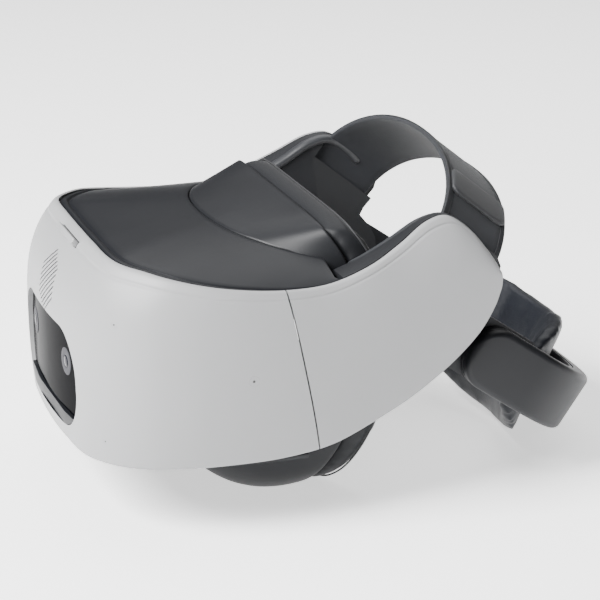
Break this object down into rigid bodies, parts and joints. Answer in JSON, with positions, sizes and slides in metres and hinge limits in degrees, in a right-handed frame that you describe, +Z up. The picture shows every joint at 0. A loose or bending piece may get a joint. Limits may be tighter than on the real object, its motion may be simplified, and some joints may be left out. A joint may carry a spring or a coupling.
{
  "type": "vr headset",
  "caption": "Head-worn display with a curved shell, dark front window, face hood and cushion, side arms, an adjustable top strap and a rear cradle slid in and out by a dial.",
  "frame": {"origin": "centre of the bounding box in plan, at its lowest level (the underside of the face hood's cheeks)", "axes": "+Z up when worn, -Y the way the wearer looks (the window faces -Y), +X to the wearer's left"},
  "size_m": [0.1952, 0.2774, 0.1631],
  "materials": {
    "shell_white": "satin, finely textured",
    "charcoal_plastic": "satin",
    "hood_grey": "satin",
    "window_black": "gloss, dark tinted",
    "lens_glass": "polished",
    "cushion_foam": "coated foam, soft sheen",
    "strap_webbing": "close weave",
    "key_grey": "satin",
    "bare_metal": "satin",
    "circuit_board": "satin solder mask",
    "battery_wrap": "satin film",
    "display_black": "gloss",
    "soft_rubber": "matte"
  },
  "bodies": {
    "visor": {"front_shell": "shell_white", "left_arm_shell": "shell_white", "right_arm_shell": "shell_white", "front_window": "window_black", "window_ledge": "charcoal_plastic", "left_camera_housing": "charcoal_plastic", "left_camera_lens": "lens_glass", "right_camera_housing": "charcoal_plastic", "right_camera_lens": "lens_glass", "top_deck": "charcoal_plastic", "face_hood": "hood_grey", "face_cushion": "cushion_foam", "nose_flap": "soft_rubber", "bottom_cover": "charcoal_plastic", "usb_port": "bare_metal", "audio_jack": "soft_rubber", "inner_frame": "bare_metal", "mainboard": "circuit_board", "heat_sink": "bare_metal", "fan_housing": "charcoal_plastic", "battery": "battery_wrap", "proximity_sensor": "display_black", "frame_screw_1": "bare_metal", "frame_screw_2": "bare_metal", "frame_screw_3": "bare_metal", "frame_screw_4": "bare_metal", "left_arm_lining": "charcoal_plastic", "right_arm_lining": "charcoal_plastic", "left_speaker": "bare_metal", "right_speaker": "bare_metal", "left_band": "charcoal_plastic", "right_band": "charcoal_plastic", "top_strap": "strap_webbing", "left_strap_tab": "strap_webbing", "right_strap_tab": "strap_webbing"},
    "power_key": {"power_button": "key_grey"},
    "volume_down_key": {"volume_down_button": "key_grey"},
    "volume_up_key": {"volume_up_button": "key_grey"},
    "fan": {"fan_rotor": "charcoal_plastic"},
    "left_optics": {"left_display": "display_black", "left_lens_barrel": "charcoal_plastic", "left_lens": "lens_glass", "left_optics_rack": "charcoal_plastic"},
    "right_optics": {"right_display": "display_black", "right_lens_barrel": "charcoal_plastic", "right_lens": "lens_glass", "right_optics_rack": "charcoal_plastic"},
    "lens_spacing_dial": {"ipd_knob": "charcoal_plastic"},
    "rear_cradle": {"rear_casing": "charcoal_plastic", "rear_casing_cover": "charcoal_plastic", "cushion_carrier": "charcoal_plastic", "rear_cushion": "cushion_foam"},
    "left_rack": {"left_adjuster_rack": "charcoal_plastic"},
    "right_rack": {"right_adjuster_rack": "charcoal_plastic"},
    "fit_dial": {"adjuster_dial": "charcoal_plastic", "adjuster_pinion": "bare_metal"}
  },
  "joints": [
    {"name": "power_button_press", "type": "slide", "parent": "visor", "child": "power_key", "axis": [0, 0.7431, -0.6691], "range_m": [0, 0.0006], "stiffness_N_per_m": 800},
    {"name": "volume_down_press", "type": "slide", "parent": "visor", "child": "volume_down_key", "axis": [0, 0, 1], "range_m": [0, 0.0006], "stiffness_N_per_m": 800},
    {"name": "volume_up_press", "type": "slide", "parent": "visor", "child": "volume_up_key", "axis": [0, 0, 1], "range_m": [0, 0.0006], "stiffness_N_per_m": 800},
    {"name": "fan_spin", "type": "hinge", "parent": "visor", "child": "fan", "pos_m": [-0.035, -0.09653, 0.0942], "axis": [0, 1, 0], "continuous": true},
    {"name": "left_optics_slide", "type": "slide", "parent": "visor", "child": "left_optics", "axis": [1, 0, 0], "range_m": [-0.00125, 0.0045]},
    {"name": "right_optics_slide", "type": "slide", "parent": "visor", "child": "right_optics", "axis": [-1, 0, 0], "range_m": [-0.00125, 0.0045]},
    {"name": "lens_spacing_turn", "type": "hinge", "parent": "visor", "child": "lens_spacing_dial", "pos_m": [0, -0.09453, 0.0342], "axis": [0, 0, 1], "range_deg": [-18, 64.6]},
    {"name": "cradle_slide", "type": "slide", "parent": "visor", "child": "rear_cradle", "axis": [0, 0.8192, -0.5736], "range_m": [-0.003, 0.026]},
    {"name": "left_rack_slide", "type": "slide", "parent": "rear_cradle", "child": "left_rack", "axis": [1, 0, 0], "range_m": [-0.003, 0.026]},
    {"name": "right_rack_slide", "type": "slide", "parent": "rear_cradle", "child": "right_rack", "axis": [-1, 0, 0], "range_m": [-0.003, 0.026]},
    {"name": "fit_dial_turn", "type": "hinge", "parent": "rear_cradle", "child": "fit_dial", "pos_m": [0, 0.12411, 0.02214], "axis": [0, 0.8192, -0.5736], "range_deg": [-31.3, 270.9]}
  ],
  "couplings": [
    {"joint": "right_optics_slide", "follows": "left_optics_slide", "ratio": 1},
    {"joint": "lens_spacing_turn", "follows": "left_optics_slide", "rad_per_m": 250},
    {"joint": "left_rack_slide", "follows": "cradle_slide", "ratio": 1},
    {"joint": "right_rack_slide", "follows": "cradle_slide", "ratio": 1},
    {"joint": "fit_dial_turn", "follows": "cradle_slide", "rad_per_m": 181.82}
  ]
}
